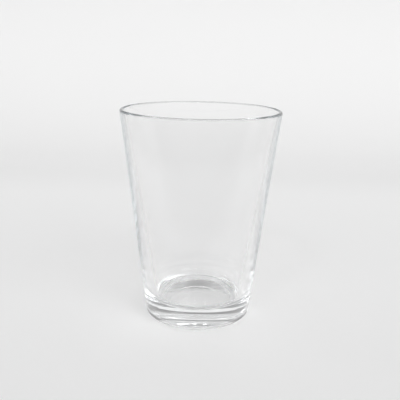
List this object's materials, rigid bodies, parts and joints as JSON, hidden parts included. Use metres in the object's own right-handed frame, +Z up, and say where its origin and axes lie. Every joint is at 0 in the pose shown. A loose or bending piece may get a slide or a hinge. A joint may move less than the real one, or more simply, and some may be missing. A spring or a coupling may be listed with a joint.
{
  "type": "drinking glass",
  "caption": "Plain clear conical tumbler with a rounded lip, straight walls that widen upwards, a thick solid base and a shallow hollow underneath; holds a drink.",
  "frame": {"origin": "on the glass's axis, at the level of the table it stands on", "axes": "+Z up along the axis, from the foot to the lip; the glass is round, so X and Y are free"},
  "size_m": [0.09, 0.09, 0.12],
  "materials": {
    "clear_glass": "clear and colourless, fire-polished"
  },
  "bodies": {
    "root": {"rounded_lip": "clear_glass", "side_wall": "clear_glass", "thick_base": "clear_glass", "foot_ring": "clear_glass"}
  },
  "joints": []
}
